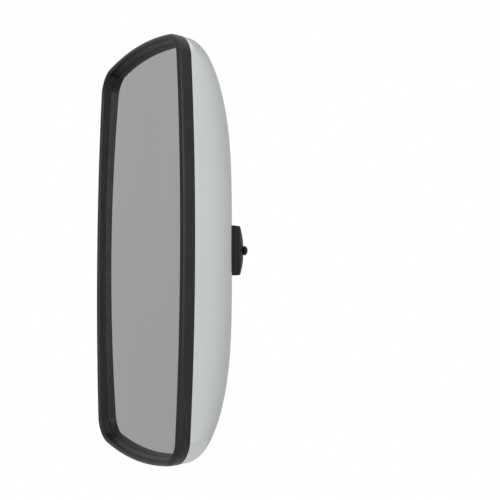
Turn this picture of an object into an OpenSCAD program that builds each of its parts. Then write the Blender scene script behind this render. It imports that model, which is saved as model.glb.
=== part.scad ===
// Exterior rear-view mirror head on a ball clamp for a vertical mirror pole.
// Frame: the origin is on the pole axis at the middle of the clamp, +Z is up along the pole, and the
// glass faces -Y. Head modules are written in a head frame: x from the head's centre line, y backwards
// from the seam plane between bezel and shell, z up.

/* [Head] */
// Width of the head
head_w = 194; // [180:1:210]
// Height of the head
head_h = 432; // [400:1:460]
// Depth of the back shell behind the seam plane
shell_depth = 88; // [84:1:94]
// How far the sides draw in towards the top and bottom
side_bow = 10.9; // [6:0.1:14]
// How far the top and bottom edges draw in towards the sides
top_bow = 14.7; // [10:0.1:18]
// Corner radius of the outline
corner_r = 21; // [16:1:26]
// Wall of the back shell
shell_wall = 2.6; // [2:0.1:3]
// Fullness of the shell's profile along the height
shell_power = 3.25; // [2.8:0.05:3.8]

/* [Scoop] */
// Half width of the pole channel
scoop_w = 42; // [41:0.5:44]
// Half height of the pole channel
scoop_h = 166; // [150:1:172]
// Height of the channel floor behind the seam plane
scoop_floor = 52; // [50:0.5:54]
// Steepness of the channel walls
scoop_power = 2.6; // [2.2:0.1:3]
// Softness of the channel rim
rim_soft = 1.6; // [1:0.1:2.5]

/* [Bezel and glass] */
// How far the front ridge stands ahead of the seam plane
bezel_front = 13.6; // [11:0.1:16]
// Inset of the front ridge from the outline
ridge_inset = 4.8; // [4.4:0.1:5.2]
// Inset of the visible edge of the glass
glass_edge = 7.8; // [7.7:0.1:8.4]
// How far the glass stands ahead of the seam plane at its sides
glass_front = 5; // [4:0.1:6]
// Radius of the convex glass
glass_radius = 9000; // [6000:500:20000]
// Thickness of the glass
glass_t = 3; // [2:0.1:3.2]

/* [Ball clamp] */
// Radius of the pole
pole_r = 14; // [13.5:0.1:14.2]
// Sideways distance of the pole axis from the head's centre line
pole_x = 27; // [26:0.5:28]
// Distance of the pole axis behind the seam plane
pole_y = 75.5; // [75:0.5:76]
// Distance of the ball centre behind the seam plane
ball_y = 64.5; // [64:0.5:65]
// Radius of the ball
ball_r = 32; // [31.8:0.1:32.2]
// Length of the clamp along the pole
clamp_h = 52.4; // [50:0.2:54]
// Sideways distance of the clamp screws from the pole axis
screw_x = 19.3; // [19:0.1:20]

/* [Hidden] */
$fn = 96;
half_w = head_w / 2;
half_h = head_h / 2;
pole_off = pole_y - ball_y;             // pole axis behind the ball centre
gap = 0.15;                             // running clearance between the ball joint's spheres
liner_t = 1.3;                          // thickness of each friction liner
liner_1 = ball_r + gap;                 // inner radius of the inner liner
liner_2 = liner_1 + liner_t + gap;      // inner radius of the outer liner
cup_r = liner_2 + liner_t + gap;        // spherical bore of the socket cup
cup_t = 3.4;                            // wall of the socket cup
ring_r = 36;                            // outer radius of the socket ring
ring_y = 6.5;                           // socket ring's face behind the ball centre
notch_r = 18.2;                         // rounding of the ring's notch that lets the pole past
notch_y = 5.5;                          // centre of that rounding behind the ball centre
clamp_gap = 1.2;                        // slot between the two clamp halves
dome_r = 30;                            // cover's rounding across the pole
dome_long = 85;                         // cover's rounding along the pole
cover_back = 99.1;                      // cover's highest point behind the seam plane
dome_top = cover_back - ball_y;         // the same behind the ball centre
side_r = 52.5;                          // rounding of the cover's sides, seen from behind
side_w = 28.3;                          // half width of the cover at the screws
relief_slope = 0.29;                    // slope of the relief under the cover's ends
relief_low = 9.3;                       // start of that relief behind the ball centre
seat_back = 89.8;                       // screw seats behind the seam plane
seat_y = seat_back - ball_y;            // the same behind the ball centre
head_r = 5;                             // radius of the clamp screws' heads
head_t = 5.3;                           // height of the clamp screws' heads
bolt_xz = [34.4, 21.2];                 // tension bolts from the ball's axis
m6 = 3;                                 // radius of an M6 thread
m5 = 2.5;                               // radius of an M5 thread
plate_y = 18;                           // front face of the support plate
plate_t = 2.5;                          // thickness of the support plate
flange_y = 45.2;                        // front face of the socket cup's flange
flange_t = 3.8;                         // thickness of the socket cup's flange
block_y = 49.4;                         // front face of the socket housing
block_top = 62;                         // back face of the housing's wings
block_w = 40.2;                         // half width of the housing at mid height
block_h = 26;                           // half height of the housing
bulge_r = 250;                          // rounding of the housing's sides, seen from behind
far_cheek = 83;                         // back face of the housing's cheek on the deep side
far_cheek_t = 3.4;                      // thickness of that cheek
near_cheek = 69.4;                      // back face of the cheek on the pole's side
near_cheek_t = 4;                       // thickness of that cheek
near_cheek_h = 24.4;                    // half height of that cheek
insert_r = 4.2;                         // radius of the threaded inserts
insert_l = 8.8;                         // length of the threaded inserts
window_gap = 0.7;                       // gap between the housing and the shell's window
posts = [[-58, 78], [-58, -78], [-40, 150], [-40, -150], [62, 150], [62, -150]];
studs = [[-36, 60], [-36, -60], [46, 100], [46, -100]];
shell_inset = 0.4;                      // inset of the shell's edge from the outline
seam_gap = 0.3;                         // seam between shell and bezel, filled by the gasket
skirt_out = 4.8;                        // inset of the bezel's skirt, outside
skirt_in = 6.5;                         // inset of the bezel's skirt, inside
flange_in = 24;                         // inset of the bezel's inner flange
flange_front = 5.4;                     // front face of that flange
flange_back = 7.9;                      // back face of that flange
glass_in = 7.3;                         // inset of the glass itself
seal_low = -2.6;                        // front edge of the glass seal
foam_t = 1.1;                           // thickness of the bonding foam
foam_y = glass_t - glass_front + 0.05;  // front of the bonding foam at the sides
backing_t = 2.5;                        // thickness of the glass backing
backing_y = foam_y + foam_t + 0.05;     // front of the glass backing at the sides
post_r = 6;                             // radius of the shell posts
post_gap = 0.8;                         // gap between the posts and the shell's inner skin
n_round = 96;                           // points around the outline
n_shell = 88;                           // points around the shell's rings

// ---------- outline of the head ----------
function side_at(z) = half_w - side_bow * pow(z / half_h, 2);
function top_at(x) = half_h - top_bow * pow(x / half_w, 2);
function inside(p, inset) =
    let (u = side_at(p[1]) - inset - abs(p[0]),
         v = top_at(p[0]) - inset - abs(p[1]),
         r = max(corner_r - inset, 2))
    (u >= r || v >= r) ? (u > 0 && v > 0) : pow(r - u, 2) + pow(r - v, 2) <= r * r;
function reach(c, d, inset, low, high, n) =
    n == 0 ? low :
    inside(c + d * (low + high) / 2, inset) ? reach(c, d, inset, (low + high) / 2, high, n - 1)
                                            : reach(c, d, inset, low, (low + high) / 2, n - 1);
// Angles run a little slower past the corners, which gives them more points.
function warped(i, n) = 360 * i / n + 8.6 * sin(4 * 360 * i / n);
function ray(i, n) =
    let (t = warped(i, n), d = [half_w * cos(t), half_h * sin(t)])
    d / norm(d);
function outline_point(i, n, inset) = ray(i, n) * reach([0, 0], ray(i, n), inset, 0, 300, 28);
function outline(inset, n = n_round) = [for (i = [0 : n - 1]) outline_point(i, n, inset)];
// How far the convex glass has dropped back at a point
function crown(p) = (p[0] * p[0] + p[1] * p[1]) / (2 * glass_radius);
crown_edge = crown([half_w - glass_edge, 0]);

// ---------- mesh helpers ----------
// Closed solid from a list of rings that runs out along one skin and back along the other
function tube_faces(rings, n) =
    [for (j = [0 : rings - 1], i = [0 : n - 1], k = [0 : 1])
        let (a = j * n + i, b = j * n + (i + 1) % n,
             c = ((j + 1) % rings) * n + i, d = ((j + 1) % rings) * n + (i + 1) % n)
        k == 0 ? [a, b, d] : [a, d, c]];
// The same, closed by a fan at each end instead of joining up
function capped_faces(rings, n) =
    let (first = rings * n, last = first + 1)
    concat([for (j = [0 : rings - 2], i = [0 : n - 1], k = [0 : 1])
                let (a = j * n + i, b = j * n + (i + 1) % n,
                     c = (j + 1) * n + i, d = (j + 1) * n + (i + 1) % n)
                k == 0 ? [a, b, d] : [a, d, c]],
           [for (i = [0 : n - 1]) [first, (i + 1) % n, i]],
           [for (i = [0 : n - 1]) [last, (rings - 1) * n + i, (rings - 1) * n + (i + 1) % n]]);

function reversed(faces) = [for (f = faces) [f[2], f[1], f[0]]];

module in_head() {
    translate([-pole_x, -pole_y, 0]) children();
}
module at_ball() {
    translate([0, -pole_off, 0]) children();
}
// Turns a shape drawn in XY and raised along Z so that it is drawn in XZ and raised along +Y
module facing_back() {
    rotate([-90, 0, 0]) mirror([0, 1, 0]) children();
}
module rod(r, y0, y1, x = 0, z = 0, sides = 48) {
    translate([x, y0, z]) rotate([-90, 0, 0]) cylinder(r = r, h = y1 - y0, $fn = sides);
}
module slab(inset, y0, y1) {
    translate([0, y0, 0]) rotate([-90, 0, 0]) mirror([0, 1, 0])
        linear_extrude(y1 - y0) polygon(outline(inset));
}
// Plate that follows the convex glass, from its front at y0 at the side edge
module crowned_plate(inset, y0, thick) {
    steps = [0.25, 0.5, 0.75, 1];
    edge = outline(inset, 64);
    function lift(p) = y0 - crown_edge + crown(p);
    front = [for (s = steps, p = edge) [p[0] * s, lift(p * s), p[1] * s]];
    back = [for (k = [3 : -1 : 0], p = edge)
                [p[0] * steps[k], lift(p * steps[k]) + thick, p[1] * steps[k]]];
    polyhedron(concat(front, back, [[0, lift([0, 0]), 0], [0, lift([0, 0]) + thick, 0]]),
               capped_faces(8, 64));
}

// ---------- pole clamp ----------
module dome() {
    translate([0, dome_top - dome_long, 0]) rotate([0, 90, 0])
        rotate_extrude($fn = 180) translate([dome_long - dome_r, 0]) circle(dome_r, $fn = 120);
}
module cover_outline() {
    facing_back() linear_extrude(60) intersection() {
        translate([side_w - side_r, 0]) circle(side_r, $fn = 180);
        translate([side_r - side_w, 0]) circle(side_r, $fn = 180);
        square([100, clamp_h], center = true);
    }
}
// Wedge that keeps the cover's overhang clear of the socket ring when the clamp tilts
module relief_wedge() {
    high = relief_low + relief_slope * clamp_h / 2;
    rotate([90, 0, 90]) linear_extrude(2 * side_w + 4, center = true)
        polygon([[relief_low, 0], [high, clamp_h / 2], [60, clamp_h / 2], [60, -clamp_h / 2],
                 [high, -clamp_h / 2]]);
}
module pole_bore(ribs) {
    translate([0, pole_off, 0]) {
        cylinder(r = pole_r, h = clamp_h + 20, center = true, $fn = 120);
        if (ribs) for (z = [15 : 3.2 : 25], s = [-1, 1])
            translate([0, 0, s * z]) cylinder(r = pole_r + 0.8, h = 1.4, center = true, $fn = 120);
        for (s = [-1, 1]) translate([0, 0, s * (clamp_h / 2 - 0.6)])
            cylinder(r1 = pole_r + (s < 0 ? 1.2 : 0), r2 = pole_r + (s < 0 ? 0 : 1.2), h = 1.3,
                     center = true, $fn = 120);
    }
}
module ball_clamp_half() {
    color([0.72, 0.73, 0.74]) at_ball() difference() {
        intersection() {
            sphere(ball_r, $fn = 180);
            translate([-50, -27, -clamp_h / 2])
                cube([100, 27 + pole_off - clamp_gap / 2, clamp_h]);
        }
        pole_bore(true);
        for (s = [-1, 1]) {
            rod(m5 + 0.2, -30, 30, s * screw_x);
            rod(4.7, -30, -2, s * screw_x, 0, 6);
        }
        rod(8, -30, -14);
    }
}
module clamp_cover() {
    color([0.11, 0.11, 0.12]) at_ball() difference() {
        intersection() {
            dome();
            cover_outline();
            union() {
                sphere(ball_r - 0.3, $fn = 180);
                relief_wedge();
                for (s = [-1, 1]) rod(6.6, 16, 30, s * screw_x);
            }
            translate([-50, pole_off + clamp_gap / 2, -clamp_h / 2]) cube([100, 60, clamp_h]);
        }
        pole_bore(false);
        for (s = [-1, 1]) {
            rod(m5 + 0.3, 0, 60, s * screw_x);
            rod(7, seat_y, 60, s * screw_x);
            translate([s > 0 ? screw_x : -screw_x - 30, seat_y, -7]) cube([30, 40, 14]);
        }
    }
}
module clamp_screws() {
    color([0.08, 0.08, 0.09]) at_ball() for (s = [-1, 1]) difference() {
        union() {
            rod(m5, -6, seat_y, s * screw_x);
            translate([s * screw_x, seat_y, 0]) rotate([-90, 0, 0]) rotate_extrude($fn = 64)
                intersection() {
                    square([head_r, head_t]);
                    translate([0, head_t - 11]) circle(11, $fn = 120);
                    translate([head_r - 2.6, head_t - 3.4]) union() {
                        circle(2.6 + 0.8, $fn = 64);
                        translate([-head_r, -5]) square([head_r, 12]);
                        translate([-head_r, -5]) square([2 * head_r, 5]);
                    }
                }
        }
        for (a = [0 : 60 : 300]) translate([s * screw_x, 0, 0]) rotate([0, a, 0])
            rod(0.75, seat_y + head_t - 2.6, seat_y + 8, 1.75, 0, 24);
        rod(1.75, seat_y + head_t - 2.6, seat_y + 8, s * screw_x, 0, 32);
    }
}
module clamp_nuts() {
    color([0.75, 0.76, 0.78]) at_ball() for (s = [-1, 1]) difference() {
        rod(4.6, -6.4, -2.1, s * screw_x, 0, 6);
        rod(m5 + 0.02, -10, 0, s * screw_x);
    }
}

// ---------- friction liners between ball and socket ----------
module liner(r, low, high) {
    rotate([-90, 0, 0]) rotate_extrude($fn = 120) difference() {
        circle(r + liner_t, $fn = 180);
        circle(r, $fn = 180);
        translate([-60, -60]) square([60, 120]);
        translate([-1, high]) square([60, 120]);
        translate([-1, -60]) square([1 + low, 60]);
    }
}
module inner_liner() {
    color([0.85, 0.84, 0.78]) at_ball() liner(liner_1, 6, -23);
}
module outer_liner() {
    color([0.35, 0.36, 0.38]) at_ball() liner(liner_2, 6, -24);
}

// ---------- socket ----------
module block_outline(grow = 0) {
    intersection() {
        translate([block_w + grow - bulge_r, 0]) circle(bulge_r, $fn = 360);
        translate([bulge_r - block_w - grow, 0]) circle(bulge_r, $fn = 360);
        square([100, 2 * (block_h + grow)], center = true);
    }
}
module socket_ring(low) {
    rotate([-90, 0, 0]) rotate_extrude($fn = 120) difference() {
        translate([0, low]) square([ring_r, ring_y - low]);
        translate([ring_r - 2, ring_y - 2]) difference() {
            square(3);
            circle(2, $fn = 48);
        }
        circle(ball_r + gap, $fn = 180);
        translate([-1, low - 1]) square([31, -9 - low]);
        translate([-1, 0]) square([1 + ball_r - 0.7, 30]);
    }
}
module socket_housing() {
    low = block_y - ball_y;
    wing_top = block_top - ball_y;
    near_top = near_cheek - ball_y;
    far_top = far_cheek - ball_y;
    color([0.10, 0.10, 0.11]) at_ball() {
        difference() {
            socket_ring(low);
            translate([0, notch_y, 0]) cylinder(r = notch_r, h = 2 * ring_r + 4, center = true, $fn = 120);
        }
        difference() {
            translate([0, low, 0]) facing_back() linear_extrude(far_top - low) block_outline();
            translate([far_cheek_t - block_w, wing_top, -50])
                cube([2 * block_w - far_cheek_t - near_cheek_t, 60, 100]);
            translate([0, near_top, -50]) cube([100, 60, 100]);
            for (s = [-1, 1]) translate([0, wing_top, s > 0 ? near_cheek_h : -near_cheek_h - 50])
                cube([100, 60, 50]);
            rod(ring_r - 0.5, low - 1, 60, 0, 0, 120);
            for (sx = [-1, 1], sz = [-1, 1])
                rod(insert_r + 0.05, low - 1, low + insert_l + 0.2, sx * bolt_xz[0], sz * bolt_xz[1]);
        }
    }
}
module threaded_inserts() {
    low = block_y - ball_y;
    color([0.80, 0.65, 0.30]) at_ball() for (sx = [-1, 1], sz = [-1, 1]) difference() {
        rod(insert_r, low, low + insert_l, sx * bolt_xz[0], sz * bolt_xz[1]);
        rod(m6 + 0.05, low - 1, low + 10, sx * bolt_xz[0], sz * bolt_xz[1]);
    }
}
module socket_cup() {
    rim = block_y - ball_y - 0.2;
    low = flange_y - ball_y;
    color([0.62, 0.63, 0.65]) at_ball() difference() {
        union() {
            intersection() {
                sphere(cup_r + cup_t, $fn = 180);
                rod(60, -50, rim, 0, 0, 96);
            }
            translate([0, low, 0]) facing_back() linear_extrude(flange_t) hull()
                for (sx = [-1, 1], sz = [-1, 1])
                    translate([sx * (bolt_xz[0] - 2), sz * (bolt_xz[1] - 2)]) circle(7, $fn = 32);
        }
        sphere(cup_r, $fn = 180);
        rod(7, -60, 0);
        for (sx = [-1, 1], sz = [-1, 1])
            rod(m6 + 0.4, low - 1, low + 6, sx * bolt_xz[0], sz * bolt_xz[1]);
    }
}
// Runs its children once at each tension bolt, in the head frame
module each_bolt() {
    for (sx = [-1, 1], sz = [-1, 1])
        translate([pole_x + sx * bolt_xz[0], 0, sz * bolt_xz[1]]) children();
}
module tension_bolts() {
    color([0.70, 0.71, 0.73]) in_head() each_bolt() {
        rod(m6, plate_y - 1, block_y + 8);
        rod(5.6, plate_y - 4.2, plate_y, 0, 0, 6);
    }
}
module spacer_tubes() {
    color([0.66, 0.67, 0.70]) in_head() each_bolt() difference() {
        rod(5.5, plate_y + plate_t, flange_y - 8.1);
        rod(m6 + 0.3, plate_y, flange_y);
    }
}
module disc_springs() {
    color([0.45, 0.46, 0.50]) in_head() each_bolt() for (k = [0 : 3])
        translate([0, flange_y - 8 + 2 * k + (k % 2 == 0 ? 0 : 2), 0]) mirror([0, k % 2, 0])
            rotate([-90, 0, 0]) rotate_extrude($fn = 64)
                polygon([[m6 + 0.4, 1], [6, 0], [6, 0.9], [m6 + 0.4, 1.9]]);
}

// ---------- inside the shell ----------
module support_plate() {
    color([0.55, 0.56, 0.58]) in_head() difference() {
        translate([0, plate_y, 0]) facing_back() linear_extrude(plate_t) difference() {
            union() {
                translate([-74, -92]) square([152, 184]);
                translate([-54, -164]) square([130, 328]);
            }
            for (s = [-1, 1]) translate([4, s * 122]) circle(24, $fn = 72);
            translate([-48, 0]) circle(16, $fn = 72);
            translate([pole_x, 0]) circle(20, $fn = 72);
        }
        each_bolt() rod(m6 + 0.2, 0, 40);
        for (p = posts) rod(m5 + 0.2, 0, 40, p[0], p[1]);
        for (p = studs) rod(m5 + 0.2, 0, 40, p[0], p[1]);
    }
}
// Lowest point of the shell's inner skin over a post
function post_top(p) =
    min([for (a = [0 : 30 : 330]) shell_inside(p + (post_r + 1) * [cos(a), sin(a)])]) - post_gap;
module shell_posts() {
    color([0.20, 0.20, 0.21]) in_head() for (p = posts) difference() {
        rod(post_r, plate_y + plate_t, post_top(p), p[0], p[1]);
        rod(m5 - 0.1, plate_y, plate_y + plate_t + 14, p[0], p[1]);
    }
}
module post_screws() {
    color([0.70, 0.71, 0.73]) in_head() for (p = posts) {
        rod(m5 - 0.15, plate_y, plate_y + plate_t + 12, p[0], p[1]);
        rod(4.6, plate_y - 2.6, plate_y, p[0], p[1]);
    }
}
module backing_studs() {
    color([0.70, 0.71, 0.73]) in_head() for (p = studs) {
        rod(m5, stud_y(p), plate_y + plate_t + 5, p[0], p[1]);
        rod(5, plate_y - 2, plate_y, p[0], p[1]);
    }
}
module stud_nuts() {
    color([0.75, 0.76, 0.78]) in_head() for (p = studs) difference() {
        rod(4.6, plate_y + plate_t, plate_y + plate_t + 4, p[0], p[1], 6);
        rod(m5 + 0.02, plate_y, plate_y + 10, p[0], p[1]);
    }
}
// Back of the glass backing at a stud
function stud_y(p) = backing_y + backing_t - crown_edge + crown(p) + 0.1;

// ---------- back shell ----------
// Lowers the shell towards the rounded corners of the outline
function corner_fade(p) =
    let (u = side_at(p[1]) - abs(p[0]), v = top_at(p[0]) - abs(p[1]),
         gap_left = corner_r - norm([corner_r - u, corner_r - v]))
    (u >= corner_r || v >= corner_r) ? 1 : sqrt(max(gap_left, 0) / max(min(u, v), 0.01));
// Depth of the shell before the pole channel is pressed into it
function dome_depth(p) =
    let (zz = min(abs(p[1]) / top_at(p[0]), 1), xx = min(abs(p[0]) / side_at(p[1]), 1))
    shell_depth * pow(1 - pow(zz, shell_power), 1 / 3) * sqrt(1 - xx * xx) * corner_fade(p);
function scoop_ratio(p) = norm([(p[0] - pole_x) / scoop_w, p[1] / scoop_h]);
// Height of the channel's rim in the direction of a point
function rim_depth(p) =
    let (s = max(scoop_ratio(p), 0.001))
    dome_depth([pole_x + (p[0] - pole_x) / s, p[1] / s]);
function channel_depth(p) =
    scoop_floor + (rim_depth(p) - scoop_floor) * pow(scoop_ratio(p), scoop_power);
// Smooth lower envelope of the dome and the channel
function outer_depth(p) =
    let (a = dome_depth(p), b = channel_depth(p), lo = min(a, b), hi = max(a, b))
    lo - rim_soft * ln(1 + exp(-min((hi - lo) / rim_soft, 30)));
function shell_inside(p) = outer_depth(p) - shell_wall;
// Rings inside the channel, as fractions of the way to its rim, and between rim and outline
channel_steps = [0.22, 0.42, 0.58, 0.7, 0.8, 0.88, 0.95, 1];
skirt_steps = [0.06, 0.16, 0.32, 0.5, 0.66, 0.79, 0.89, 0.95, 0.985, 1];
function rim_point(q) =
    let (s = scoop_ratio(q))
    [pole_x + (q[0] - pole_x) / s, q[1] / s];
function skirt_point(q, k) = rim_point(q) + (q - rim_point(q)) * k;
function ring_points(edge) = concat(
    [for (k = channel_steps) [for (q = edge) [pole_x, 0] + (rim_point(q) - [pole_x, 0]) * k]],
    [for (k = skirt_steps) [for (q = edge) skirt_point(q, k)]]);
module shell_skin(inset, drop) {
    edge = outline(inset, n_shell);
    flat = ring_points(edge);
    rings = len(flat);
    function height(j, i) = j == rings - 1 ? -drop : max(outer_depth(flat[j][i]) - drop, 0.4);
    points = [for (j = [0 : rings - 1], i = [0 : n_shell - 1])
                [flat[j][i][0], height(j, i), flat[j][i][1]]];
    polyhedron(concat(points, [[pole_x, outer_depth([pole_x + 0.01, 0]) - drop, 0], [0, -drop, 0]]),
               reversed(capped_faces(rings, n_shell)));
}
module back_shell() {
    color([0.80, 0.82, 0.81]) in_head() difference() {
        shell_skin(shell_inset, 0);
        shell_skin(shell_inset + shell_wall, shell_wall);
        translate([pole_x, 40, 0]) facing_back() linear_extrude(60) {
            block_outline(window_gap);
            circle(ring_r + window_gap, $fn = 120);
        }
    }
}

// ---------- bezel, glass and their seals ----------
module shell_gasket() {
    color([0.07, 0.07, 0.07]) in_head() difference() {
        slab(0.9, 0.02 - seam_gap, -0.02);
        slab(2.7, -1, 1);
    }
}
module front_bezel() {
    lip_y = -glass_front - 0.05;
    // Section of the frame: inset from the outline, height from the seam plane, and 1 where it
    // follows the convex glass
    profile = [[0, -seam_gap, 0], [0.2, -9, 0], [0.9, -11.2, 0], [2.6, -12.9, 0],
               [ridge_inset, -bezel_front, 0], [6.3, -13.1, 0], [7.2, -11.6, 0], [7.6, -9.4, 0],
               [glass_edge, lip_y - 0.8, 1], [glass_edge, lip_y, 1], [skirt_in, lip_y, 1],
               [skirt_in, flange_front, 0], [flange_in, flange_front, 0], [flange_in, flange_back, 0],
               [skirt_out, flange_back, 0], [skirt_out, -seam_gap, 0]];
    points = [for (s = profile, p = outline(s[0], n_round))
                [p[0], s[1] + s[2] * (crown(p) - crown_edge), p[1]]];
    color([0.12, 0.12, 0.13]) in_head()
        polyhedron(points, reversed(tube_faces(len(profile), n_round)));
}
module mirror_glass() {
    color([0.62, 0.63, 0.62]) in_head() crowned_plate(glass_in, -glass_front, glass_t);
}
module glass_seal() {
    color([0.05, 0.05, 0.05]) in_head() difference() {
        slab(skirt_in + 0.1, seal_low, flange_front - 0.1);
        slab(glass_in - 0.3, seal_low - 1, flange_front + 1);
    }
}
module bonding_foam() {
    color([0.20, 0.20, 0.20]) in_head() crowned_plate(30, foam_y, foam_t);
}
module glass_backing() {
    color([0.16, 0.16, 0.17]) in_head() crowned_plate(26, backing_y, backing_t);
}

ball_clamp_half();
clamp_cover();
clamp_screws();
clamp_nuts();
inner_liner();
outer_liner();
socket_housing();
socket_cup();
threaded_inserts();
tension_bolts();
disc_springs();
spacer_tubes();
support_plate();
shell_posts();
post_screws();
back_shell();
shell_gasket();
front_bezel();
mirror_glass();
glass_seal();
bonding_foam();
glass_backing();
backing_studs();
stud_nuts();
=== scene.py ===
import math

import bpy
import numpy as np
from mathutils import Matrix, Vector


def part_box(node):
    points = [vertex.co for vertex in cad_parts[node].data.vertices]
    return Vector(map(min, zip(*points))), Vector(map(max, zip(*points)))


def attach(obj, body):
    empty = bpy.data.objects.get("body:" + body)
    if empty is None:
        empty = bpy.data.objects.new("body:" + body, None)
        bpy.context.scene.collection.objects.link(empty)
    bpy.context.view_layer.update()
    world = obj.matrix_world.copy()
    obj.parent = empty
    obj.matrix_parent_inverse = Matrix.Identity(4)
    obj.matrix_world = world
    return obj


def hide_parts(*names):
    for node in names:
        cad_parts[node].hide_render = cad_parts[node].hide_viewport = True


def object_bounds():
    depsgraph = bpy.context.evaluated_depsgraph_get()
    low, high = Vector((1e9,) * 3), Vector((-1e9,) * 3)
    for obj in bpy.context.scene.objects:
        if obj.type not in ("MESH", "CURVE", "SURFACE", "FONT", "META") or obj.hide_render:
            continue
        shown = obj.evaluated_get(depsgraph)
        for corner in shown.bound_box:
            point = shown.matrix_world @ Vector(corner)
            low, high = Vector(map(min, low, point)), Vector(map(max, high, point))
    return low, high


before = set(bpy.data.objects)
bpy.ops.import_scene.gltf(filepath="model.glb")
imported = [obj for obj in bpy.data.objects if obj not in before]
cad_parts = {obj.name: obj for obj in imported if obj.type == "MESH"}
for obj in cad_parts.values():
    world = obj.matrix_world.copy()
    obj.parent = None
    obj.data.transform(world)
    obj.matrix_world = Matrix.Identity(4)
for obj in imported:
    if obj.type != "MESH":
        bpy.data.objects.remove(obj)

cad_low, cad_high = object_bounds()
middle = (cad_low + cad_high) / 2
MM = 0.001

# ---------- measures shared with the CAD model, in its head frame and in millimetres ----------
PX, PY = 27.0, 75.5  # the pole's axis, where the shared frame has its origin
HALF_W, HALF_H = 97.0, 216.0
SIDE_BOW, TOP_BOW, CORNER_R = 10.9, 14.7, 21.0
DEPTH, POWER, WALL, EDGE_IN = 88.0, 3.25, 2.6, 0.4
SCOOP_W, SCOOP_H, FLOOR, SCOOP_POWER, RIM_SOFT = 42.0, 166.0, 52.0, 2.6, 1.6
GLASS_R, GLASS_T, GLASS_EDGE, GLASS_IN, GLASS_Y = 9000.0, 3.0, 7.8, 7.3, -5.0
SEAM, SKIRT_OUT, SKIRT_IN = 0.3, 4.8, 6.5
FLANGE_IN, FLANGE_Y0, FLANGE_Y1 = 24.0, 5.4, 7.9
CROWN_EDGE = (HALF_W - GLASS_EDGE) ** 2 / (2 * GLASS_R)

# ---------- measures of the visual pieces alone, in millimetres ----------
SHELL_LEAST = 0.4  # the shell's skins stay this far behind the seam
GROOVE_OUT, GROOVE_DEEP, GROOVE_WIDE, GROOVE_FADE = 13.6, 0.28, 0.75, 0.3
WINDOW_GAP, WINDOW_HALF_H, WINDOW_BULGE = 0.7, 26.7, 250.0
WINDOW_RING_R, WINDOW_REACH = 36.7, 40.0
LIP_GAP, GLASS_CHAMFER = 0.05, 0.3

# ---------- fineness of the meshes ----------
SHELL_POINTS, BEZEL_POINTS, GLASS_POINTS = 400, 480, 320
CROWDING, HALVINGS, REACH = math.radians(8.6), 34, 300.0
SHARP, SHELL_SHARP, BEZEL_SHARP, SOFT_SHARP = (math.radians(a) for a in (32, 38, 45, 60))


# ---------- outline of the head ----------
def side_at(z):
    return HALF_W - SIDE_BOW * (z / HALF_H) ** 2


def top_at(x):
    return HALF_H - TOP_BOW * (x / HALF_W) ** 2


def inside(x, z, inset):
    u = side_at(z) - inset - np.abs(x)
    v = top_at(x) - inset - np.abs(z)
    r = max(CORNER_R - inset, 2.0)
    straight = (u >= r) | (v >= r)
    return np.where(straight, (u > 0) & (v > 0), (r - u) ** 2 + (r - v) ** 2 <= r * r)


def outline(inset, n):
    """Points around the head's outline drawn in by inset, found by halving along each ray."""
    t = np.arange(n) / n * 2 * math.pi
    t = t + CROWDING * np.sin(4 * t)
    dx, dz = HALF_W * np.cos(t), HALF_H * np.sin(t)
    size = np.hypot(dx, dz)
    dx, dz = dx / size, dz / size
    low, high = np.zeros(n), np.full(n, REACH)
    for _ in range(HALVINGS):
        mid = (low + high) / 2
        ok = inside(dx * mid, dz * mid, inset)
        low, high = np.where(ok, mid, low), np.where(ok, high, mid)
    return dx * low, dz * low


def crown(x, z):
    """How far the convex glass has dropped back, from its side edges."""
    return (x * x + z * z) / (2 * GLASS_R) - CROWN_EDGE


# ---------- depth of the back shell ----------
def dome_depth(x, z):
    u, v = side_at(z) - np.abs(x), top_at(x) - np.abs(z)
    left = CORNER_R - np.hypot(CORNER_R - u, CORNER_R - v)
    near = np.maximum(np.minimum(u, v), 0.01)
    fade = np.where((u >= CORNER_R) | (v >= CORNER_R), 1, np.sqrt(np.maximum(left, 0) / near))
    zz = np.minimum(np.abs(z) / top_at(x), 1)
    xx = np.minimum(np.abs(x) / side_at(z), 1)
    return DEPTH * (1 - zz**POWER) ** (1 / 3) * np.sqrt(1 - xx * xx) * fade


def scoop_ratio(x, z):
    """0 in the middle of the pole channel, 1 at its rim."""
    return np.hypot((x - PX) / SCOOP_W, z / SCOOP_H)


def shell_depth(x, z):
    """Depth of the shell's outer skin: the dome and the pole channel, blended at the rim."""
    s = np.maximum(scoop_ratio(x, z), 0.001)
    rim = dome_depth(PX + (x - PX) / s, z / s)
    channel = FLOOR + (rim - FLOOR) * s**SCOOP_POWER
    dome = dome_depth(x, z)
    low, high = np.minimum(dome, channel), np.maximum(dome, channel)
    return low - RIM_SOFT * np.log1p(np.exp(-np.minimum((high - low) / RIM_SOFT, 30)))


def groove(x, z):
    """Two fine pressed lines that run down the channel's floor."""
    away = np.abs(np.abs(x - PX) - GROOVE_OUT)
    along = np.clip((1 - scoop_ratio(x * 0 + PX, z)) / GROOVE_FADE, 0, 1)
    return GROOVE_DEEP * np.exp(-((away / GROOVE_WIDE) ** 2)) * along


# ---------- meshes and objects ----------
def to_frame(x, y, z):
    """Head frame in millimetres to the shared frame in metres."""
    return np.column_stack([np.ravel(x) - PX, np.ravel(y) - PY, np.ravel(z)]) * MM


def ring_faces(rings, n, flip=False, closed=False):
    faces = []
    for j in range(rings if closed else rings - 1):
        k = (j + 1) % rings
        for i in range(n):
            m = (i + 1) % n
            quad = (j * n + i, k * n + i, k * n + m, j * n + m)
            faces.append(quad[::-1] if flip else quad)
    return faces


def add_object(name, data):
    obj = bpy.data.objects.new(name, data)
    bpy.context.scene.collection.objects.link(obj)
    return obj


def add_mesh(name, verts, faces):
    mesh = bpy.data.meshes.new(name)
    mesh.from_pydata([tuple(v) for v in verts], [], faces)
    mesh.update()
    return add_object(name, mesh)


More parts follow.
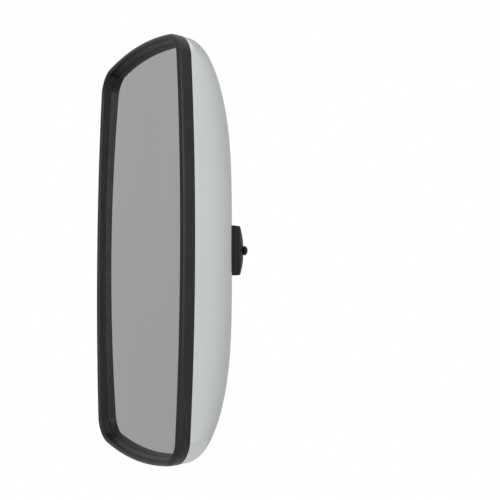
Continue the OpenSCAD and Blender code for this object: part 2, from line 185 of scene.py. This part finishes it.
def bake_modifiers(obj):
    """Apply the object's modifiers to its mesh."""
    graph = bpy.context.evaluated_depsgraph_get()
    made = bpy.data.meshes.new_from_object(obj.evaluated_get(graph))
    obj.modifiers.clear()
    obj.data = made


def finish_piece(obj, body, node, mat, sharp=SHARP):
    """Smooth and colour a piece, let it ride on its body and stand for its CAD node."""
    mesh = obj.data
    mesh.polygons.foreach_set("use_smooth", [True] * len(mesh.polygons))
    mesh.set_sharp_from_angle(angle=sharp)
    mesh.materials.clear()
    mesh.materials.append(mat)
    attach(obj, body)
    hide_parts(node)


# ---------- materials ----------
def map_range(tree, source, start, end, low, high, smooth=False):
    """A node that takes source from start..end to low..high."""
    node = tree.nodes.new("ShaderNodeMapRange")
    if smooth:
        node.interpolation_type = "SMOOTHSTEP"
    for key, value in (("From Min", start), ("From Max", end), ("To Min", low), ("To Max", high)):
        node.inputs[key].default_value = value
    tree.links.new(source, node.inputs["Value"])
    return node.outputs["Result"]


class Nodes:
    """A small helper around one material's node tree."""

    def __init__(self, name):
        self.mat = bpy.data.materials.new(name)
        self.mat.use_nodes = True
        self.tree = self.mat.node_tree
        self.shader = self.tree.nodes["Principled BSDF"]
        self.coord = self.tree.nodes.new("ShaderNodeTexCoord").outputs["Object"]

    def link(self, a, b):
        self.tree.links.new(a, b)

    def stretch(self, scale):
        node = self.tree.nodes.new("ShaderNodeMapping")
        node.inputs["Scale"].default_value = scale
        self.link(self.coord, node.inputs["Vector"])
        return node.outputs["Vector"]

    def noise(self, scale, detail=4.0, rough=0.55, stretch=None):
        node = self.tree.nodes.new("ShaderNodeTexNoise")
        node.inputs["Scale"].default_value = scale
        node.inputs["Detail"].default_value = detail
        node.inputs["Roughness"].default_value = rough
        self.link(self.stretch(stretch) if stretch else self.coord, node.inputs["Vector"])
        return node.outputs["Fac"]

    def cells(self, scale):
        node = self.tree.nodes.new("ShaderNodeTexVoronoi")
        node.feature = "F1"
        node.inputs["Scale"].default_value = scale
        self.link(self.coord, node.inputs["Vector"])
        return node.outputs["Distance"]

    def span(self, fac, low, high):
        return map_range(self.tree, fac, 0.3, 0.7, low, high)

    def blend(self, fac, dark, light, start=0.3, end=0.7):
        node = self.tree.nodes.new("ShaderNodeValToRGB")
        ramp = node.color_ramp
        ramp.elements[0].position, ramp.elements[1].position = start, end
        ramp.elements[0].color = (*dark, 1)
        ramp.elements[1].color = (*light, 1)
        self.link(fac, node.inputs["Fac"])
        return node.outputs["Color"]

    def bump(self, height, strength, distance, normal=None):
        node = self.tree.nodes.new("ShaderNodeBump")
        node.inputs["Strength"].default_value = strength
        node.inputs["Distance"].default_value = distance
        self.link(height, node.inputs["Height"])
        if normal is not None:
            self.link(normal, node.inputs["Normal"])
        return node.outputs["Normal"]

    def put(self, **sockets):
        for key, value in sockets.items():
            socket = self.shader.inputs[key.replace("_", " ")]
            if isinstance(value, bpy.types.NodeSocket):
                self.link(value, socket)
            else:
                socket.default_value = value
        return self.mat


def tone(color, factor):
    return tuple(min(c * factor, 1.0) for c in color)


def plated(name, color, rough, swing=0.05, peel=0.02):
    """Bright plating: faint orange peel, handling haze and small changes of tone."""
    n = Nodes(name)
    haze = n.noise(14, 5)
    fine = n.noise(900, 2)
    normal = n.bump(n.noise(95, 2), peel, 0.0006)
    normal = n.bump(fine, peel * 0.6, 0.00004, normal)
    return n.put(
        Base_Color=n.blend(haze, tone(color, 0.965), color),
        Metallic=1.0,
        Roughness=n.span(n.noise(32, 6, 0.65), rough, rough + swing),
        Normal=normal,
    )


def moulded(name, color, rough, grain=0.25, scale=2200, gloss=0.5, peel=0.0):
    """Moulded or coated surface: a fine grain, patchy sheen and slight wear of tone."""
    n = Nodes(name)
    normal = n.bump(n.noise(scale, 3, 0.6), grain, 0.00006)
    normal = n.bump(n.cells(scale * 0.42), grain * 0.6, 0.00005, normal)
    if peel:
        normal = n.bump(n.noise(120, 2), peel, 0.0005, normal)
    return n.put(
        Base_Color=n.blend(n.noise(38, 6, 0.6), tone(color, 0.82), tone(color, 1.22)),
        Metallic=0.0,
        Specular_IOR_Level=gloss,
        Roughness=n.span(n.noise(60, 5, 0.62), rough - 0.05, rough + 0.07),
        Normal=normal,
    )


def steel(name, color, rough, brush=(1, 1, 1), metallic=1.0, grain=0.12, scale=700):
    """Zinc plated, ground or cast metal."""
    n = Nodes(name)
    normal = n.bump(n.noise(scale, 4, 0.6, brush), grain, 0.00008)
    return n.put(
        Base_Color=n.blend(n.noise(70, 5), tone(color, 0.8), tone(color, 1.1)),
        Metallic=metallic,
        Roughness=n.span(n.noise(240, 5, 0.6, brush), rough - 0.06, rough + 0.12),
        Normal=normal,
    )


def mirror():
    """The mirror's coating, with faint smears."""
    n = Nodes("mirror_coating")
    smear = n.noise(9, 6, 0.6, (1.0, 1.0, 0.45))
    return n.put(
        Base_Color=n.blend(smear, (0.565, 0.573, 0.565), (0.585, 0.592, 0.583), 0.35, 0.65),
        Metallic=1.0,
        Roughness=n.span(n.noise(26, 6, 0.7), 0.012, 0.035),
        Normal=n.bump(n.noise(22, 2), 0.01, 0.0004),
    )


CHROME = plated("chrome_plating", (0.76, 0.785, 0.78), 0.13)
CAST = plated("bright_cast", (0.72, 0.73, 0.735), 0.16, 0.1, 0.08)
BEZEL = moulded("bezel_satin_black", (0.0062, 0.0065, 0.0070), 0.34, 0.05, 2600, 0.40)
COVER = moulded("cover_satin_black", (0.0035, 0.0037, 0.0040), 0.44, 0.12, 2400, 0.26, 0.04)
HOUSING = moulded("housing_black", (0.0030, 0.0031, 0.0034), 0.42, 0.12, 2400, 0.28)
MIRROR = mirror()
ZINC = steel("zinc_plate", (0.62, 0.63, 0.65), 0.3)
LOOKS = {
    "ball_clamp_half": CAST,
    "clamp_screws": steel("screw_black", (0.012, 0.012, 0.013), 0.34,
                          metallic=0.6, grain=0.3, scale=1500),
    "clamp_nuts": ZINC,
    "inner_liner": moulded("liner_white", (0.62, 0.60, 0.52), 0.4, 0.12, 1800),
    "outer_liner": steel("liner_grey", (0.42, 0.43, 0.45), 0.3),
    "socket_cup": steel("cup_casting", (0.45, 0.46, 0.48), 0.42, grain=0.35, scale=420),
    "threaded_inserts": steel("insert_brass", (0.72, 0.55, 0.24), 0.28),
    "tension_bolts": ZINC,
    "disc_springs": steel("spring_steel", (0.30, 0.31, 0.36), 0.26),
    "spacer_tubes": ZINC,
    "support_plate": steel("plate_zinc", (0.52, 0.53, 0.55), 0.34, (1, 1, 0.06)),
    "shell_posts": moulded("post_black", (0.03, 0.03, 0.032), 0.45),
    "post_screws": ZINC,
    "shell_gasket": moulded("gasket_rubber", (0.012, 0.012, 0.012), 0.62, 0.3, 1500, 0.3),
    "glass_seal": moulded("seal_rubber", (0.010, 0.010, 0.010), 0.6, 0.3, 1500, 0.3),
    "bonding_foam": moulded("bonding_foam", (0.05, 0.05, 0.05), 0.85, 0.6, 900, 0.2),
    "glass_backing": moulded("backing_black", (0.03, 0.03, 0.032), 0.5),
    "backing_studs": ZINC,
    "stud_nuts": ZINC,
}
for node, look in LOOKS.items():
    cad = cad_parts[node]
    cad.data.materials.clear()
    cad.data.materials.append(look)


# ---------- pieces ----------
def shell_skin(inset, drop, channel, skirt, grooved):
    """One skin of the shell: rings from the channel's middle to its rim, then out to the seam."""
    edge_x, edge_z = outline(inset, SHELL_POINTS)
    s = scoop_ratio(edge_x, edge_z)
    rim_x, rim_z = PX + (edge_x - PX) / s, edge_z / s
    rings = [(PX + (rim_x - PX) * k, rim_z * k) for k in channel]
    rings += [(rim_x + (edge_x - rim_x) * k, rim_z + (edge_z - rim_z) * k) for k in skirt]
    points = []
    for x, z in rings:
        y = np.maximum(shell_depth(x, z) - drop, SHELL_LEAST)
        if grooved:
            y = y - groove(x, z)
        points.append(to_frame(x, y, z))
    # the last ring lies on the seam
    points[-1] = to_frame(rings[-1][0], np.zeros(SHELL_POINTS), rings[-1][1])
    return np.vstack(points), len(rings)


def back_shell():
    n = SHELL_POINTS
    channel = np.linspace(0.012, 1, 64)
    # closest at the rim and where the skin turns down to the seam
    skirt = np.concatenate([
        np.linspace(0.0, 0.12, 10)[1:],
        np.linspace(0.12, 0.8, 34)[1:],
        np.linspace(0.8, 0.97, 18)[1:],
        1 - 0.03 * (1 - np.linspace(0, 1, 12)[1:]) ** 1.6,
    ])
    outer, rings = shell_skin(EDGE_IN, 0, channel, skirt, True)
    inner, inner_rings = shell_skin(EDGE_IN + WALL, WALL, channel[::3], skirt[::3], False)
    start = len(outer)
    base = start + len(inner)
    hub = to_frame([PX, PX], [FLOOR, FLOOR - WALL], [0, 0])
    faces = ring_faces(rings, n)
    faces += [tuple(v + start for v in f) for f in ring_faces(inner_rings, n, flip=True)]
    # the seam face between the two skins
    last, inner_last = (rings - 1) * n, start + (inner_rings - 1) * n
    for i in range(n):
        m = (i + 1) % n
        faces.append((last + i, inner_last + i, inner_last + m, last + m))
    # the middle of the channel, which the window then cuts away
    for i in range(n):
        m = (i + 1) % n
        faces.append((base, i, m))
        faces.append((base + 1, start + m, start + i))
    obj = add_mesh("back_shell_skin", np.vstack([outer, inner, hub]), faces)
    cutter = window_cutter()
    cut = obj.modifiers.new("window", "BOOLEAN")
    cut.operation, cut.solver, cut.object = "DIFFERENCE", "EXACT", cutter
    bake_modifiers(obj)
    bpy.data.objects.remove(cutter)
    finish_piece(obj, "head", "back_shell", CHROME, SHELL_SHARP)


def window_cutter():
    """The housing's outline and its ring, a little larger, raised through the shell."""
    half_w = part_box("socket_housing")[1].x / MM + WINDOW_GAP
    z = np.linspace(-WINDOW_HALF_H, WINDOW_HALF_H, 41)
    x = half_w - WINDOW_BULGE + np.sqrt(WINDOW_BULGE**2 - z**2)
    arc_start = math.asin(WINDOW_HALF_H / WINDOW_RING_R)
    right = list(zip(x, z))
    top = [(WINDOW_RING_R * math.cos(a), WINDOW_RING_R * math.sin(a))
           for a in np.linspace(arc_start, math.pi - arc_start, 33)]
    left = [(-a, b) for a, b in reversed(right)]
    bottom = [(a, -b) for a, b in reversed(top)]
    loop = right + top + left + bottom
    n = len(loop)
    verts = [(a * MM, y * MM, b * MM) for y in (-WINDOW_REACH, WINDOW_REACH) for a, b in loop]
    faces = [tuple(range(n)), tuple(range(2 * n - 1, n - 1, -1))]
    faces += [(i, n + i, n + (i + 1) % n, (i + 1) % n) for i in range(n)]
    return add_mesh("cutter", verts, faces)


def spline(points, steps):
    """Catmull-Rom curve through the points."""
    p = np.array(points, float)
    p = np.vstack([2 * p[0] - p[1], p, 2 * p[-1] - p[-2]])
    out = []
    for k in range(1, len(p) - 2):
        a, b, c, d = p[k - 1 : k + 3]
        for t in np.arange(steps) / steps:
            out.append(0.5 * (2 * b + (c - a) * t + (2 * a - 5 * b + 4 * c - d) * t * t
                              + (3 * b - a - 3 * c + d) * t**3))
    out.append(p[-2])
    return out


def front_bezel():
    """A section of (inset, y, share of the glass's crown), swept round the outline."""
    lip = GLASS_Y - LIP_GAP
    face = [(0.05, -0.6), (0.08, -4.5), (0.2, -9), (0.55, -10.6), (1.4, -12.1), (2.9, -13.1),
            (4.8, -13.57), (6.2, -13.1), (7.05, -11.9), (7.4, -10.4), (7.5, -8.6), (7.62, -7.2)]
    section = [(0.45, -SEAM, 0)] + [(a, b, 0) for a, b in spline(face, 5)]
    section += [(GLASS_EDGE - 0.06, lip - 0.62, 1), (GLASS_EDGE, lip - 0.4, 1),
                (GLASS_EDGE, lip, 1), (SKIRT_IN, lip, 1), (SKIRT_IN, FLANGE_Y0, 0),
                (FLANGE_IN, FLANGE_Y0, 0), (FLANGE_IN, FLANGE_Y1, 0),
                (SKIRT_OUT, FLANGE_Y1, 0), (SKIRT_OUT, -SEAM, 0)]
    rows = []
    for inset, y, follow in section:
        x, z = outline(inset, BEZEL_POINTS)
        rows.append(to_frame(x, y + follow * crown(x, z), z))
    faces = ring_faces(len(section), BEZEL_POINTS, closed=True, flip=True)
    obj = add_mesh("front_bezel_frame", np.vstack(rows), faces)
    obj.data.validate()
    finish_piece(obj, "head", "front_bezel", BEZEL, BEZEL_SHARP)


def mirror_glass():
    n = GLASS_POINTS
    edge_x, edge_z = outline(GLASS_IN, n)
    steps = np.linspace(0.04, 0.997, 26)
    levels = [(k, 0) for k in steps] + [(1, GLASS_CHAMFER), (1, GLASS_T - GLASS_CHAMFER)]
    levels += [(k, GLASS_T) for k in steps[::-1]]
    rows = []
    for k, back in levels:
        x, z = edge_x * k, edge_z * k
        rows.append(to_frame(x, GLASS_Y + crown(x, z) + back, z))
    faces = ring_faces(len(rows), n, flip=True)
    faces.append(tuple(range(n)))
    faces.append(tuple(range(len(rows) * n - 1, (len(rows) - 1) * n - 1, -1)))
    obj = add_mesh("mirror_glass_pane", np.vstack(rows), faces)
    obj.data.validate()
    finish_piece(obj, "head", "mirror_glass", MIRROR)


def softened(name, node, voxel, passes, body, mat):
    """The CAD node's own shape with a moulding's soft edges: remeshed finely and relaxed."""
    obj = add_object(name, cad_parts[node].data.copy())
    remesh = obj.modifiers.new("remesh", "REMESH")
    remesh.mode, remesh.voxel_size = "VOXEL", voxel * MM
    smooth = obj.modifiers.new("relax", "SMOOTH")
    smooth.factor, smooth.iterations = 0.5, passes
    bake_modifiers(obj)
    finish_piece(obj, body, node, mat, SOFT_SHARP)


back_shell()
front_bezel()
mirror_glass()
softened("clamp_cover_moulding", "clamp_cover", 0.5, 6, "pole_clamp", COVER)
softened("socket_housing_moulding", "socket_housing", 0.6, 5, "head", HOUSING)


# ---------- stage, light and camera, in metres ----------
def stage_floor():
    """A round pale table below the object. It lies outside the main view."""
    n, radius, level = 96, 0.7, cad_low.z - 0.3
    turns = [2 * math.pi * i / n for i in range(n)]
    verts = [(middle.x + radius * math.cos(a), middle.y + radius * math.sin(a), level)
             for a in turns]
    floor = add_mesh("floor", verts, [tuple(range(n))])
    look = Nodes("pale_floor")
    shade = look.blend(look.noise(0.8, 2), (0.76, 0.76, 0.76), (0.79, 0.79, 0.79))
    floor.data.materials.append(look.put(Base_Color=shade, Roughness=0.8))


def studio_world():
    """Soft light, weaker to one side, below and behind. The camera itself sees plain white."""
    world = bpy.data.worlds.new("studio")
    bpy.context.scene.world = world
    world.use_nodes = True
    tree = world.node_tree
    nodes, link = tree.nodes, tree.links.new
    coord, split = nodes.new("ShaderNodeTexCoord"), nodes.new("ShaderNodeSeparateXYZ")
    link(coord.outputs["Generated"], split.inputs[0])
    strength = map_range(tree, split.outputs["X"], -0.8, 0.75, 0.56, 0.875, smooth=True)
    rise = map_range(tree, split.outputs["Z"], -1.0, 1.0, 0.92, 1.1)
    rear = map_range(tree, split.outputs["Y"], 0.0, 0.6, 1.0, 0.85, smooth=True)
    for part in (rise, rear):
        times = nodes.new("ShaderNodeMath")
        times.operation = "MULTIPLY"
        link(strength, times.inputs[0])
        link(part, times.inputs[1])
        strength = times.outputs[0]
    shade = nodes["Background"]
    shade.inputs["Color"].default_value = (1, 1, 1, 1)
    link(strength, shade.inputs["Strength"])
    plain = nodes.new("ShaderNodeBackground")
    plain.inputs["Color"].default_value = (1, 1, 1, 1)
    plain.inputs["Strength"].default_value = 1.0
    path, mix = nodes.new("ShaderNodeLightPath"), nodes.new("ShaderNodeMixShader")
    link(path.outputs["Is Camera Ray"], mix.inputs[0])
    link(shade.outputs[0], mix.inputs[1])
    link(plain.outputs[0], mix.inputs[2])
    link(mix.outputs[0], nodes["World Output"].inputs["Surface"])


def softbox(name, place, size, power):
    """A rectangular light that faces the object's middle and doesn't show itself."""
    light = bpy.data.lights.new(name, "AREA")
    light.shape = "RECTANGLE"
    light.size, light.size_y = size
    light.energy = power
    obj = add_object(name, light)
    obj.location = place
    obj.rotation_euler = (middle - Vector(place)).to_track_quat("-Z", "Y").to_euler()
    obj.visible_camera = False


def photo_camera():
    """The photograph's viewing angle: where the camera stands, its right and its up."""
    place = Vector((0.63002, -0.42442, -0.04499))
    right = Vector((0.59283, 0.80533, -0.00252))
    up = Vector((0.05022, -0.03385, 0.99816))
    cam = bpy.data.cameras.new("photo_camera")
    cam.sensor_fit, cam.sensor_width, cam.lens = "HORIZONTAL", 36.0, 50.666
    cam.clip_start, cam.clip_end = 0.01, 200
    obj = add_object("photo_camera", cam)
    back = right.cross(up).normalized()
    up = back.cross(right).normalized()
    turn = Matrix((right.normalized(), up, back)).transposed()
    obj.matrix_world = Matrix.Translation(place) @ turn.to_4x4()
    bpy.context.scene.camera = obj


stage_floor()
studio_world()
softbox("overhead", (middle.x, middle.y, 2.6), (3.2, 3.2), 8)
softbox("side_panel", (1.75, -1.5, 0.5), (0.9, 1.6), 11)
photo_camera()
bpy.context.scene.view_settings.view_transform = "Standard"
